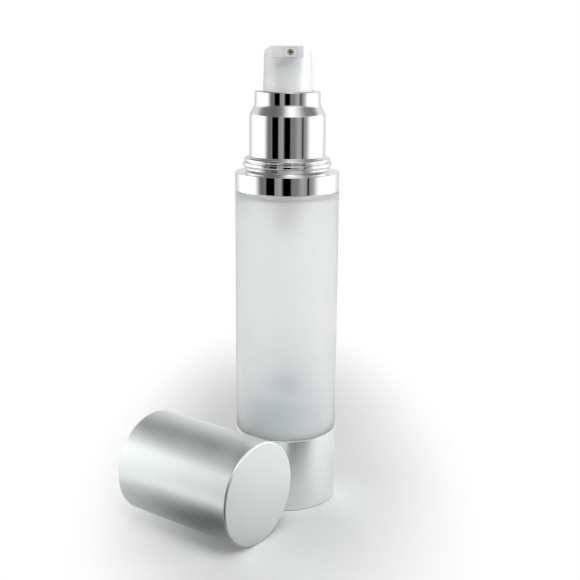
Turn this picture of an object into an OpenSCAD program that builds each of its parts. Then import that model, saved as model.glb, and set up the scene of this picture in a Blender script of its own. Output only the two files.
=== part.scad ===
// Airless pump bottle, 50 ml, with its metal cap taken off and lying beside it.
// Millimetres, +Z up. The origin is where the bottle's axis meets the floor, and the nozzle faces -Y.
// The pieces are drawn in the order in which the bottle goes together: the base and tube, the follower
// piston in the tube, the pump that hangs in the neck, the collar over it, the head, and the cap.

/* [Bottle] */
// Outside diameter of the tube, the base and the collar's flange
body_d = 35; // [34.6:0.1:38]
// Height of the metal base, from the floor to its seam with the tube
base_h = 25.9; // [24:0.1:40]
// Height of the frosted tube that shows between the base and the collar
tube_h = 83.9; // [60:0.1:120]
// Wall of the frosted tube
tube_wall = 2; // [1.8:0.05:2.2]
// Thickness of the shoulder at the top of the tube
shoulder_t = 2.2; // [1.6:0.1:3]
// Wall of the neck
neck_wall = 1.8; // [1.4:0.1:2]
// Room between the pump and the neck round it
neck_room = 2; // [1.5:0.1:2.2]
// Radius of the rounded lip at the tube's lower end
lip_r = 0.6; // [0.3:0.05:0.6]

/* [Base] */
// Wall of the aluminium base shell
shell_wall = 0.6; // [0.4:0.05:0.7]
// Floor of the aluminium base shell
shell_floor = 0.8; // [0.5:0.1:1.2]
// Radius of the base shell's lower edge
base_edge_r = 0.6; // [0.3:0.1:1]
// Gap of the seam between the base shell and the tube
seam_gap = 0.15; // [0.05:0.05:0.3]
// Floor of the plastic base plug
plug_floor = 1.5; // [1:0.1:2.5]
// Wall of the plastic base plug
plug_wall = 1.3; // [1:0.1:1.8]
// Height of the plug's sleeve, on which the follower piston stands
plug_h = 17.3; // [12:0.1:19]
// Number of ribs in the base plug
plug_ribs = 6; // [3:1:10]
// Thickness of a rib in the base plug
plug_rib_t = 1; // [0.6:0.1:1.5]
// Height of a rib in the base plug
plug_rib_h = 9; // [4:0.5:12]
// Diameter of the plug's hub
plug_hub_d = 8; // [6:0.5:10]
// Diameter of the vent hole through the base, which lets air in under the follower piston
vent_d = 1.6; // [1:0.1:2.5]
// Distance of the vent hole from the axis
vent_offset = 9; // [7:0.5:11]

/* [Follower piston] */
// Height of the follower piston
follower_h = 20.3; // [16:0.1:24]
// Wall of the follower piston
follower_wall = 1.3; // [1:0.1:1.6]
// Height of each of its two sealing lips
follower_lip_h = 2.6; // [1.5:0.1:4]
// How far the piston's waist is drawn in from its lips
follower_waist = 0.6; // [0.3:0.1:1]
// Room between the pump's chamber and the well in the crown that takes it
well_room = 1; // [0.7:0.1:1.8]
// How much wider the well is at the crown
well_flare = 0.8; // [0.2:0.1:1.5]

/* [Collar] */
// Height of the collar's flange
flange_h = 6.1; // [5.5:0.1:8]
// How far the lower and upper rings stand out of the grooves beside them
ring_depth = 0.5; // [0.4:0.05:0.6]
// How far the middle ring, on which the cap snaps, stands out of the grooves beside it
bead_depth = 1; // [0.8:0.05:1.2]
// Spacing of the three rings
ring_pitch = 1.45; // [1.35:0.05:1.6]
// Wall of the collar behind the grooves
groove_wall = 0.7; // [0.6:0.05:1]
// How far the upper cylinder's foot is drawn in from the collar's wide bore
upper_step = 0.45; // [0.3:0.05:0.6]
// How much narrower the upper cylinder is at its top
upper_draft = 0.05; // [0:0.05:0.15]
// Height from the flange to the top of the upper cylinder
upper_h = 18.8; // [17:0.1:22]
// Height of the cone between the upper cylinder and the collar's mouth
cone_h = 3.4; // [2.5:0.1:5]
// Wall of the collar's mouth
mouth_wall = 2.2; // [1.8:0.05:2.6]
// Height of the mouth above the cone
mouth_h = 4.4; // [3:0.1:6]
// Gap between the collar's mouth and the head that slides in it
mouth_gap = 0.27; // [0.15:0.01:0.4]
// Radius of the rounded rim at the mouth
rim_r = 0.5; // [0.3:0.05:0.8]
// Wall of the collar elsewhere
collar_wall = 1.1; // [0.9:0.05:1.2]

/* [Pump] */
// Stroke of the pump
stroke = 5; // [3:0.1:6]
// Bore of the pump chamber
chamber_d = 8; // [7.6:0.1:8.4]
// Wall of the pump housing
housing_wall = 1.2; // [1:0.05:1.3]
// Outside diameter of the stem
stem_d = 4; // [3.6:0.05:4.2]
// Wall of the stem
stem_wall = 0.9; // [0.7:0.05:1]
// Diameter of the inlet valve's ball
ball_d = 3; // [2.6:0.05:3.2]
// How far the inlet ball lifts off its seat
ball_lift = 0.5; // [0.3:0.05:0.8]
// How far the pump piston rides up its rod to open the outlet
piston_lift = 0.6; // [0.4:0.05:0.8]
// Height of the pump piston
piston_h = 3.6; // [3:0.1:4.5]
// Wire of the return spring
wire_d = 0.6; // [0.45:0.01:0.65]
// Turns of the return spring
spring_turns = 9; // [6:1:11]

/* [Head] */
// Height of the head's top above the collar's rim
head_h = 14.6; // [13.8:0.1:17]
// Radius of the head at its foot inside the collar
head_foot_r = 8.48; // [8:0.01:9]
// How much narrower the head is where its top bevel starts
head_draft = 0.7; // [0.4:0.05:0.9]
// Height of the bevel round the head's top
bevel_h = 1.7; // [1:0.1:2]
// Width of the bevel round the head's top
bevel_w = 2.38; // [1.5:0.01:2.6]
// How far the head's skirt reaches down into the collar
skirt_h = 8; // [6.5:0.1:9]
// Distance of the spout block's flat face from the head's axis
face_y = 10.2; // [9.6:0.1:11]
// Height of the spout block, from its underside to the head's top
block_h = 3.8; // [3.6:0.05:4.2]
// Width of the spout block
spout_w = 10.2; // [9.6:0.1:11]
// Width of the nozzle insert
insert_w = 3.9; // [3.4:0.1:4.4]
// How far the nozzle insert sits to the side of the head's axis
nozzle_shift = 0.75; // [0:0.05:1]
// Diameter of the nozzle's opening
orifice_d = 2.1; // [1.6:0.05:2.2]
// Depth of the nozzle's opening, down to the outlet hole in its floor
orifice_depth = 0.8; // [0.5:0.1:1]
// Diameter of the outlet hole
outlet_d = 0.7; // [0.4:0.1:1]

/* [Cap] */
// Length of the cap
cap_len = 46.2; // [45:0.1:56]
// Wall of the cap's aluminium shell
cap_wall = 0.6; // [0.4:0.05:0.8]
// Radius of the edge round the cap's closed end
cap_edge_r = 0.7; // [0.4:0.05:0.9]
// Wall of the cap's plastic liner
liner_wall = 0.9; // [0.7:0.05:1.1]
// How far the land at the cap's mouth, which snaps over the collar's middle ring, stands in from the liner
snap_h = 0.75; // [0.5:0.05:1]
// Angle of the lying cap's axis, from +X towards its mouth
cap_turn = 143.4; // [120:0.1:170]
// Gap between the lying cap and the bottle
cap_gap = 2.9; // [1.5:0.1:20]
// How far the cap's closed end lies past the point that is nearest the bottle
cap_past = 17.6; // [5:0.1:40]

/* [Hidden] */
$fn = 96;

// Clearances: pieces that are pressed together, a thin slot, running fits, an end stop and a seat
press_gap = 0.05;
skirt_gap = 0.1;
run_gap = 0.04;
stem_gap = 0.03;
stop_gap = 0.1;
seat_gap = 0.02;
// One overrun serves all cuts
over = 0.5;
// Steps of a rounded corner in an outline
arc_steps = 6;

// Radii, from the pump out to the cap
chamber_r = chamber_d / 2;
chamber_out_r = chamber_r + housing_wall;
cup_step = 2.6;
cup_r = chamber_r + cup_step;
cup_out_r = cup_r + housing_wall;
neck_bore_r = cup_out_r + neck_room;
neck_r = neck_bore_r + neck_wall;
neck_bead = 0.4;
gasket_r = neck_r - stop_gap;
closure_wall = 1.05;
closure_fit = 0.1;
closure_r = neck_r + neck_bead + closure_fit + closure_wall;
closure_room = 0.25;
closure_hole_r = cup_out_r + closure_room;
collar_in_r = closure_r + press_gap;
groove_r = collar_in_r + groove_wall;
ring_r = groove_r + ring_depth;
bead_r = groove_r + bead_depth;
upper_r = collar_in_r - upper_step;
upper_top_r = upper_r - upper_draft;
mouth_bore_r = head_foot_r + mouth_gap;
mouth_r = mouth_bore_r + mouth_wall;
snap_fit = 0.1;
snap_r = bead_r + snap_fit;
liner_in_r = snap_r + snap_h;
liner_r = liner_in_r + liner_wall;
cap_in_r = liner_r + press_gap;
cap_r = cap_in_r + cap_wall;
well_r = chamber_out_r + well_room;

// Bottle, from the floor up
body_r = body_d / 2;
bore_r = body_r - tube_wall;
shell_in_r = body_r - shell_wall;
shell_rim_r = 0.2;
skirt_r = shell_in_r - skirt_gap;
plug_z = shell_floor + plug_floor;
plug_top_z = plug_z + plug_h;
tube_z = base_h + tube_h;
tube_edge = 0.2;
shoulder_z = tube_z - shoulder_t;

// Collar, up to the foot of its upper cylinder
flange_z = tube_z + flange_h;
flange_edge = 0.25;
flange_top_t = 1.2;
pocket_share = 0.26;
flange_relief = 0.6;
ring_rise = 1.25;
ring_low_z = flange_z + ring_rise;
ring_round = 0.62;
ring_open = 50;
bead_land = 0.4;
ring_top_round = 0.8;
ring_top_open = 70;
foot_rise = 1.4;
foot_z = ring_low_z + 2 * ring_pitch + foot_rise;
foot_fillet = 0.45;

// Closure, from the collar's step down to the neck's rim
closure_top_t = 1.3;
housing_flange_t = 1.2;
gasket_t = 0.8;
closure_z = foot_z - collar_wall - press_gap;
web_z = closure_z - closure_top_t;
housing_z = web_z - housing_flange_t;
neck_z = housing_z - gasket_t;
neck_bead_rise = 2.4;
neck_bead_z = tube_z + neck_bead_rise;
neck_bead_h = 1.4;

// Pump, from the housing's flange down
cup_depth = 6;
stem_gasket_t = 0.8;
stop_collar_t = 1.3;
stop_collar_room = 0.4;
rod_flange_t = 1;
rod_flange_room = 1.1;
rod_plug_h = 6;
rod_gap = 0.05;
rod_flat_share = 0.72;
piston_bore_room = 0.5;
piston_lip_h = 0.9;
piston_waist = 0.4;
retainer_t = 1.4;
retainer_step = 0.5;
retainer_slot_w = 0.9;
retainer_slot_h = 0.6;
stem_slot_w = 1.2;
stem_slot_h = 0.7;
inlet_step = 0.6;
inlet_h = 1.2;
ball_room = 0.3;
nose_wall = 1.4;
nose_taper_h = 1.4;
stem_r = stem_d / 2;
stem_bore_r = stem_r - stem_wall;
ball_r = ball_d / 2;
inlet_r = ball_r - inlet_step;
cup_floor_z = web_z - cup_depth;
stop_collar_z = cup_floor_z - stop_gap - stop_collar_t;
piston_z = stop_collar_z - stop_gap - piston_lift - piston_h;
rod_flange_z = piston_z - rod_gap - rod_flange_t;
retainer_z = rod_flange_z - stroke - 3 * stop_gap - retainer_t;
ball_z = retainer_z - stop_gap - ball_lift - ball_r;
seat_z = ball_z - (sqrt(2) * (ball_r + seat_gap) - inlet_r);
pump_z = seat_z - inlet_h;

// Follower piston: its crown stops under the shoulder while its well goes over the pump's lower end
follower_z = plug_top_z + stop_gap;
crown_z = follower_z + follower_h;
follower_top_z = shoulder_z - stop_gap - press_gap;
follower_travel = follower_top_z - crown_z;
well_end = 0.3;
well_depth = follower_top_z - pump_z + well_end;

// Collar, from its upper cylinder to the rim
upper_z = flange_z + upper_h;
cone_z = upper_z + cone_h;
rim_z = cone_z + mouth_h;
rim_in_r = 0.3;
cone_blend = 0.5;
mouth_blend = 0.9;
mouth_lip_h = 1.1;

// Head
head_z = rim_z + head_h;
head_foot_z = rim_z - skirt_h;
head_r = head_foot_r - head_draft;
head_edge = 0.3;
head_wall = 1.1;
bevel_z = head_z - bevel_h;
block_z = head_z - block_h;
spring_roof = 11.1;
spring_roof_z = head_z - spring_roof;
socket_h = 5.6;
socket_z = spring_roof_z + socket_h;
insert_rise = 0.15;
insert_top = 0.7;
insert_z = block_z + insert_rise;
insert_h = block_h - insert_rise - insert_top;
nozzle_z = insert_z + insert_h / 2;
insert_d = 1.35;
spigot_step = 0.1;
spigot_r = insert_h / 2 - spigot_step;
spigot_h = 1.9;
channel_step = 0.05;
channel_r = orifice_d / 2 - channel_step;

// Spring on the stem, the head's core round it, and the guide tower on which it stands
spring_room = 0.25;
spring_r = stem_r + spring_room + wire_d / 2;
spring_bore_room = 0.45;
spring_bore_r = spring_r + wire_d / 2 + spring_bore_room;
core_wall = 1.2;
core_r = spring_bore_r + core_wall;
tower_r = spring_bore_r - stop_gap;
tower_h = 8.2;
tower_z = closure_z + tower_h;
spring_z = tower_z + seat_gap + wire_d / 2;
spring_rise = spring_roof_z - seat_gap - wire_d / 2 - spring_z;
spring_end_pitch = 2 * wire_d;
rings_a_turn = 8;
wire_sides = 6;

// Cap
cap_end_t = 0.8;
liner_end_t = 0.9;
liner_recess = 0.5;
snap_len = 6;
snap_ramp = 1;

// Points of a round corner about a centre, from one angle to another
function arc(c, r, from, to, steps = arc_steps) =
    [for (i = [0 : steps]) let (a = from + (to - from) * i / steps) [c[0] + r * cos(a), c[1] + r * sin(a)]];

// Points that round the corner b between the points a and c
function blend(a, b, c, steps = arc_steps) =
    [for (i = [0 : steps]) let (t = i / steps) (1 - t) * (1 - t) * a + 2 * t * (1 - t) * b + t * t * c];

// The point at a distance from a towards b
function along(a, b, d) = a + (b - a) * d / norm(b - a);

module turned(points) {
    rotate_extrude() polygon(points);
}

// Aluminium cup that covers the foot of the bottle
module base_shell() {
    top = base_h - seam_gap;
    color("silver") difference() {
        turned(concat(
            [[0, 0]],
            arc([body_r - base_edge_r, base_edge_r], base_edge_r, -90, 0),
            arc([body_r - shell_rim_r, top - shell_rim_r], shell_rim_r, 0, 90),
            [[shell_in_r, top], [shell_in_r, shell_floor], [0, shell_floor]]));
        vent();
    }
}

module vent() {
    translate([vent_offset, 0, -over]) cylinder(d = vent_d, h = shell_floor + plug_floor + 2 * over);
}

// Plastic plug that closes the tube, carries the base shell and holds up the follower piston
module base_plug() {
    sleeve_r = bore_r - press_gap;
    root_z = plug_z - plug_floor / 2;
    color("whitesmoke") difference() {
        union() {
            translate([0, 0, shell_floor]) cylinder(r = shell_in_r - press_gap, h = plug_floor);
            turned([[sleeve_r - plug_wall, root_z], [sleeve_r, root_z],
                    [sleeve_r, plug_top_z], [sleeve_r - plug_wall, plug_top_z]]);
            translate([0, 0, root_z]) cylinder(d = plug_hub_d, h = plug_rib_h + plug_floor / 2);
            for (i = [0 : plug_ribs - 1])
                rotate((i + 0.5) * 360 / plug_ribs)
                    translate([0, -plug_rib_t / 2, root_z])
                        cube([sleeve_r - plug_wall / 2, plug_rib_t, plug_rib_h + plug_floor / 2]);
        }
        translate([0, 0, plug_z]) cylinder(d = plug_hub_d - 2 * plug_wall, h = plug_rib_h + over);
        vent();
    }
}

// Frosted tube with its skirt in the base, its shoulder and its neck
module bottle_tube() {
    color([0.86, 0.88, 0.88, 0.6]) turned(concat(
        [[bore_r, plug_z], [skirt_r, plug_z], [skirt_r, base_h]],
        arc([body_r - lip_r, base_h + lip_r], lip_r, -90, 0),
        [[body_r, tube_z - tube_edge], [body_r - tube_edge, tube_z], [neck_r, tube_z]],
        [[neck_r, neck_bead_z - neck_bead_h / 2], [neck_r + neck_bead, neck_bead_z],
         [neck_r, neck_bead_z + neck_bead_h / 2]],
        [[neck_r, neck_z], [neck_bore_r, neck_z], [neck_bore_r, shoulder_z], [bore_r, shoulder_z]]));
}

// Follower piston: two sealing lips, a drawn-in waist and a well in the crown
module follower_piston() {
    lip = bore_r - run_gap;
    waist = lip - follower_waist;
    well_z = crown_z - well_depth;
    color("gainsboro") turned([
        [lip - follower_wall, follower_z], [lip, follower_z], [lip, follower_z + follower_lip_h],
        [waist, follower_z + follower_lip_h + follower_waist],
        [waist, crown_z - follower_lip_h - follower_waist], [lip, crown_z - follower_lip_h], [lip, crown_z],
        [well_r + well_flare, crown_z], [well_r, well_z], [0, well_z], [0, well_z - follower_wall],
        [well_r + follower_wall, well_z - follower_wall],
        [well_r + well_flare + follower_wall, crown_z - follower_wall],
        [waist - follower_wall, crown_z - follower_wall],
        [waist - follower_wall, follower_z + follower_lip_h + follower_waist]]);
}

// Flat seal between the neck's rim and the pump's flange
module neck_gasket() {
    color("dimgray") translate([0, 0, neck_z]) difference() {
        cylinder(r = gasket_r, h = gasket_t);
        translate([0, 0, -over]) cylinder(r = neck_bore_r + stop_gap, h = gasket_t + 2 * over);
    }
}

// Pump body: flange on the neck, cup for the housing cap, chamber, ball room and inlet
module pump_housing() {
    room_r = ball_r + ball_room;
    nose_r = room_r + nose_wall;
    nose_top_z = retainer_z - housing_wall;
    color("white") turned([
        [inlet_r, pump_z], [nose_r, pump_z], [nose_r, nose_top_z - nose_taper_h], [chamber_out_r, nose_top_z],
        [chamber_out_r, cup_floor_z - housing_wall], [cup_out_r, cup_floor_z - housing_wall],
        [cup_out_r, housing_z], [gasket_r, housing_z], [gasket_r, web_z],
        [cup_r, web_z], [cup_r, cup_floor_z], [chamber_r, cup_floor_z], [chamber_r, retainer_z],
        [room_r, retainer_z], [room_r, seat_z + room_r - inlet_r],
        [inlet_r, seat_z]]);
}

// Inlet valve's ball, at rest on its seat
module inlet_ball() {
    color("lightsteelblue") translate([0, 0, ball_z]) sphere(r = ball_r);
}

// Ring over the ball, with slots that let the product past when the ball lifts
module ball_retainer() {
    color("white") translate([0, 0, retainer_z]) difference() {
        cylinder(r = chamber_r - press_gap, h = retainer_t);
        translate([0, 0, -over]) cylinder(r = ball_r - retainer_step, h = retainer_t + 2 * over);
        for (a = [0, 60, 120])
            rotate(a) translate([-ball_r, -retainer_slot_w / 2, -over])
                cube([2 * ball_r, retainer_slot_w, retainer_slot_h + over]);
    }
}

// Rod that is pressed into the stem: its flange is the seat of the sliding piston
module piston_rod() {
    rod_r = stem_bore_r - rod_gap;
    rod_top_z = stop_collar_z + rod_plug_h;
    color("white") {
        intersection() {
            translate([0, 0, rod_flange_z]) cylinder(r = rod_r, h = rod_top_z - rod_flange_z);
            translate([-stem_d, -rod_r * rod_flat_share, rod_flange_z])
                cube([2 * stem_d, 2 * rod_r * rod_flat_share, rod_top_z - rod_flange_z]);
        }
        translate([0, 0, rod_flange_z]) cylinder(r = chamber_r - rod_flange_room, h = rod_flange_t);
    }
}

// Sliding seal with a lip at each end
module pump_piston() {
    lip = chamber_r - run_gap;
    waist = lip - piston_waist;
    bore = stem_bore_r + piston_bore_room;
    top_z = piston_z + piston_h;
    color("ivory") turned([
        [bore, piston_z], [lip, piston_z], [lip, piston_z + piston_lip_h],
        [waist, piston_z + piston_lip_h + piston_waist], [waist, top_z - piston_lip_h - piston_waist],
        [lip, top_z - piston_lip_h], [lip, top_z], [bore, top_z]]);
}

// Hollow stem from the pump up into the head, with the collar that stops it at the top of its stroke
module stem() {
    top_z = socket_z - stop_gap;
    stop_collar_r = chamber_r - stop_collar_room;
    collar_top_z = stop_collar_z + stop_collar_t;
    color("white") difference() {
        turned([[stem_bore_r, stop_collar_z], [stop_collar_r, stop_collar_z], [stop_collar_r, collar_top_z],
                [stem_r, collar_top_z], [stem_r, top_z], [stem_bore_r, top_z]]);
        translate([-stop_collar_r - over, -stem_slot_w / 2, stop_collar_z - over])
            cube([2 * (stop_collar_r + over), stem_slot_w, stem_slot_h + over]);
    }
}

// Rubber ring that wipes the stem
module stem_gasket() {
    color("dimgray") translate([0, 0, cup_floor_z]) difference() {
        cylinder(r = cup_r - press_gap, h = stem_gasket_t);
        translate([0, 0, -over]) cylinder(r = stem_r + stem_gap, h = stem_gasket_t + 2 * over);
    }
}

// Cap of the pump housing: a plug in the cup, a web that the closure ring surrounds, and a guide tower
module housing_cap() {
    foot_z = cup_floor_z + stem_gasket_t;
    plug_r = cup_r - press_gap;
    web_r = closure_hole_r - stop_gap;
    bore = stem_r + press_gap;
    color("white") turned([
        [bore, foot_z], [tower_r, foot_z], [tower_r, web_z], [plug_r - housing_wall, web_z],
        [plug_r - housing_wall, foot_z], [plug_r, foot_z], [plug_r, web_z], [web_r, web_z],
        [web_r, closure_z], [tower_r, closure_z], [tower_r, tower_z], [bore, tower_z]]);
}

// Centre line of the spring's wire, in turns: the first and last turns are wound closer than the rest
function spring_height(t) =
    t < 1 ? spring_end_pitch * t
    : t > spring_turns - 1 ? spring_rise - spring_end_pitch * (spring_turns - t)
    : spring_end_pitch + (spring_rise - 2 * spring_end_pitch) * (t - 1) / (spring_turns - 2);
function spring_point(t) = [spring_r * cos(360 * t), spring_r * sin(360 * t), spring_z + spring_height(t)];
spring_steps = spring_turns * rings_a_turn;
spring_line = [for (i = [0 : spring_steps]) spring_point(i / rings_a_turn)];
spring_self_gap = min([
    for (i = [0 : spring_steps])
        for (j = [i + rings_a_turn / 2 : 1 : spring_steps])
            norm(spring_line[i] - spring_line[j])]) - wire_d;
echo(spring_self_gap = spring_self_gap);
echo(follower_travel = follower_travel);

// Steel return spring round the stem, between the guide tower and the head
module return_spring() {
    points = [
        for (i = [0 : spring_steps])
            for (k = [0 : wire_sides - 1])
                let (turn = 360 * i / rings_a_turn, side = 360 * k / wire_sides, out = wire_d / 2 * cos(side))
                spring_line[i] + [out * cos(turn), out * sin(turn), wire_d / 2 * sin(side)]];
    sides = [
        for (i = [0 : spring_steps - 1])
            for (k = [0 : wire_sides - 1])
                let (a = i * wire_sides + k, b = i * wire_sides + (k + 1) % wire_sides)
                each [[a, b, a + wire_sides], [b, b + wire_sides, a + wire_sides]]];
    first_end = [for (k = [1 : wire_sides - 2]) [0, k + 1, k]];
    last = spring_steps * wire_sides;
    last_end = [for (k = [1 : wire_sides - 2]) [last, last + k, last + k + 1]];
    color("lightslategray") polyhedron(points, concat(sides, first_end, last_end));
}

// Plastic ring that snaps over the neck's bead and clamps the pump's flange on its gasket
module closure_ring() {
    bore = neck_r + closure_fit;
    foot_z = tube_z + closure_fit;
    bead = bore + neck_bead;
    bead_h = neck_bead_h / 2 + closure_fit;
    color("white") turned([
        [bore, foot_z], [closure_r, foot_z], [closure_r, closure_z], [closure_hole_r, closure_z],
        [closure_hole_r, web_z], [bore, web_z],
        [bore, neck_bead_z + bead_h], [bead, neck_bead_z], [bore, neck_bead_z - bead_h]]);
}

// One ring round the collar, as a piece of its outline, with a flat crest of the given height
function ring(r, z, crest) = concat(
    arc([r - ring_round, z - crest / 2], ring_round, -ring_open, 0),
    arc([r - ring_round, z + crest / 2], ring_round, 0, ring_open));

// Mirror-plated collar: flange, three rings, upper cylinder, cone and rounded mouth
module collar_shell() {
    in_z = closure_z + press_gap;
    upper_in_r = upper_top_r - collar_wall;
    pocket_wall = pocket_share * (body_r - collar_in_r);
    low_z = ring_low_z;
    mid_z = ring_low_z + ring_pitch;
    top_z = ring_low_z + 2 * ring_pitch;
    upper_corner = [upper_top_r, upper_z];
    cone_corner = [mouth_r, cone_z];
    pocket_z = flange_z - flange_top_t;
    relief_z = tube_z + flange_relief;
    color("gainsboro") turned(concat(
        arc([body_r - flange_edge, tube_z + flange_edge], flange_edge, -90, 0),
        arc([body_r - flange_edge, flange_z - flange_edge], flange_edge, 0, 90),
        [[groove_r, flange_z]],
        ring(ring_r, low_z, 0), [[groove_r, low_z + ring_pitch / 2]],
        ring(bead_r, mid_z, bead_land), [[groove_r, mid_z + ring_pitch / 2]],
        arc([ring_r - ring_round, top_z], ring_round, -ring_open, 0),
        arc([ring_r - ring_top_round, top_z], ring_top_round, 0, ring_top_open),
        arc([upper_r + foot_fillet, foot_z], foot_fillet, -90, -180),
        blend(along(upper_corner, [upper_r, foot_z], cone_blend), upper_corner,
              along(upper_corner, cone_corner, cone_blend)),
        blend(along(cone_corner, upper_corner, mouth_blend), cone_corner,
              cone_corner + [0, mouth_blend]),
        arc([mouth_r - rim_r, rim_z - rim_r], rim_r, 0, 90),
        arc([mouth_bore_r + rim_in_r, rim_z - rim_in_r], rim_in_r, 90, 180),
        [[mouth_bore_r, cone_z - mouth_lip_h], [mouth_r - collar_wall, cone_z - mouth_lip_h],
         [upper_in_r, upper_z - collar_wall], [upper_in_r, in_z], [collar_in_r, in_z],
         [collar_in_r, relief_z], [collar_in_r + pocket_wall, relief_z],
         [collar_in_r + pocket_wall, pocket_z], [body_r - pocket_wall, pocket_z], [body_r - pocket_wall, tube_z]]));
}

// Outline of the head: drafted side, bevel with softened edges, flat top
function head_outline() =
    let (foot = [head_foot_r, head_foot_z], side = [head_r, bevel_z], top = [head_r - bevel_w, head_z])
    concat(
        [[0, head_foot_z], foot],
        blend(along(side, foot, head_edge), side, along(side, top, head_edge)),
        blend(along(top, side, head_edge), top, top - [head_edge, 0]),
        [[0, head_z]]);

// Head: a hollow cup with a bevelled top, a spout block at its front, stem socket and outlet channel
module actuator() {
    pocket_top_z = block_z - head_wall;
    socket_r = stem_r + stem_gap;
    color([0.95, 0.95, 0.97]) difference() {
        union() {
            turned(head_outline());
            translate([-spout_w / 2, -face_y, block_z]) cube([spout_w, face_y, block_h]);
        }
        difference() {
            translate([0, 0, head_foot_z - over])
                cylinder(r = head_r - head_wall, h = pocket_top_z - head_foot_z + over);
            cylinder(r = core_r, h = head_z);
        }
        translate([0, 0, head_foot_z - over])
            cylinder(r = spring_bore_r, h = spring_roof_z - head_foot_z + over);
        translate([0, 0, head_foot_z]) cylinder(r = socket_r, h = socket_z - head_foot_z);
        translate([0, 0, socket_z - over]) cylinder(r = stem_bore_r, h = nozzle_z - socket_z + over);
        translate([nozzle_shift, 0, nozzle_z]) rotate([90, 0, 0]) cylinder(r = channel_r, h = face_y);
        insert_space(press_gap);
    }
}

// Space of the nozzle insert, grown by a gap all round for its pocket
module insert_space(gap) {
    translate([nozzle_shift - insert_w / 2 - gap, -face_y - (gap > 0 ? over : 0), insert_z - gap])
        cube([insert_w + 2 * gap, insert_d + gap + (gap > 0 ? over : 0), insert_h + 2 * gap]);
    translate([nozzle_shift, -face_y + insert_d + spigot_h + gap, nozzle_z])
        rotate([90, 0, 0]) cylinder(r = spigot_r + gap, h = spigot_h + gap);
}

// Small plate pressed into the spout block: a shallow round opening with an outlet hole in its floor
module nozzle_insert() {
    color("lavender") difference() {
        insert_space(0);
        translate([nozzle_shift, -face_y + orifice_depth, nozzle_z])
            rotate([90, 0, 0]) cylinder(d = orifice_d, h = orifice_depth + over);
        translate([nozzle_shift, 0, nozzle_z]) rotate([90, 0, 0]) cylinder(d = outlet_d, h = face_y);
    }
}

// The cap's own axis runs from its closed end along +Z; this lays it on the floor beside the bottle
module lay_cap() {
    rotate([0, 0, cap_turn]) translate([-cap_past, body_r + cap_r + cap_gap, cap_r]) rotate([0, 90, 0]) children();
}

// Aluminium shell of the cap
module cap_shell() {
    color("silver") lay_cap() turned(concat(
        [[0, 0]],
        arc([cap_r - cap_edge_r, cap_edge_r], cap_edge_r, -90, 0),
        arc([cap_r - shell_rim_r, cap_len - shell_rim_r], shell_rim_r, 0, 90),
        [[cap_in_r, cap_len], [cap_in_r, cap_end_t], [0, cap_end_t]]));
}

// Plastic liner of the cap, with the land near its mouth that snaps over the collar's middle ring
module cap_liner() {
    mouth_z = cap_len - liner_recess;
    color("whitesmoke") lay_cap() turned([
        [0, cap_end_t], [liner_r, cap_end_t], [liner_r, mouth_z], [snap_r, mouth_z],
        [snap_r, mouth_z - snap_len], [liner_in_r, mouth_z - snap_len - snap_ramp],
        [liner_in_r, cap_end_t + liner_end_t], [0, cap_end_t + liner_end_t]]);
}

base_shell();
base_plug();
bottle_tube();
follower_piston();
neck_gasket();
pump_housing();
inlet_ball();
ball_retainer();
piston_rod();
pump_piston();
stem();
stem_gasket();
housing_cap();
return_spring();
closure_ring();
collar_shell();
actuator();
nozzle_insert();
cap_shell();
cap_liner();
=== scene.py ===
import math

import bpy
from mathutils import Matrix, Vector


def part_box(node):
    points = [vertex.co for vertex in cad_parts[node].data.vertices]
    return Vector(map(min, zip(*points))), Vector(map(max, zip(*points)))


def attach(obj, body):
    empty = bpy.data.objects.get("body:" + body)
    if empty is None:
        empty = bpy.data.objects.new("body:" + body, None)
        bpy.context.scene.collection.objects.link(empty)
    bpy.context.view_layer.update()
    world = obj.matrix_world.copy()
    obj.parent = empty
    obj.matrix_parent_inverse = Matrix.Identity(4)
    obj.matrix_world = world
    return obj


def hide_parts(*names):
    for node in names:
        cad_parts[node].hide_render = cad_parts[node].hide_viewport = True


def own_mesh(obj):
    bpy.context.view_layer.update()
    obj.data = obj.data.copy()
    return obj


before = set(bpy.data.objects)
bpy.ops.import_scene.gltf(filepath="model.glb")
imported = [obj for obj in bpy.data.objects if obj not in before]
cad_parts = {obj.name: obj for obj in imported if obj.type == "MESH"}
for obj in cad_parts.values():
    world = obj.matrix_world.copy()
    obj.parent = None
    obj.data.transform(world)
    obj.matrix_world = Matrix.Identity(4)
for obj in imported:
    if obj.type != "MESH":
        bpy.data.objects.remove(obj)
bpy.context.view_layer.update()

# Base shell: a cup drawn from thin aluminium sheet, fine-blasted and clear anodised to a satin grey.
# It is pressed over the base plug, and a small vent hole in its floor lets air in under the follower.
MM = 0.001
AXIS_UP = (0, 0, 1)


def arc(r, z, radius, start, end, steps=8):
    """Points of a rounded corner in an outline, in millimetres, from one angle to another in degrees."""
    turns = [math.radians(start + (end - start) * i / steps) for i in range(steps + 1)]
    return [(r + radius * math.cos(t), z + radius * math.sin(t)) for t in turns]


def tidy_shell(crisp_angle=30):
    """Merges seams and poles, turns the faces outwards, and keeps edges past the given angle crisp."""
    bpy.ops.object.mode_set(mode="EDIT")
    bpy.ops.mesh.select_all(action="SELECT")
    bpy.ops.mesh.remove_doubles(threshold=1e-6)
    bpy.ops.mesh.normals_make_consistent(inside=False)
    bpy.ops.object.mode_set(mode="OBJECT")
    bpy.ops.object.shade_smooth_by_angle(angle=math.radians(crisp_angle))


def even_normals(piece):
    """Lets the broad faces set the shading, so that a flat or a wall stays true up to its edge."""
    bpy.ops.object.modifier_add(type="WEIGHTED_NORMAL")
    piece.modifiers[-1].keep_sharp = True
    bpy.ops.object.modifier_apply(modifier=piece.modifiers[-1].name)


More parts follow.
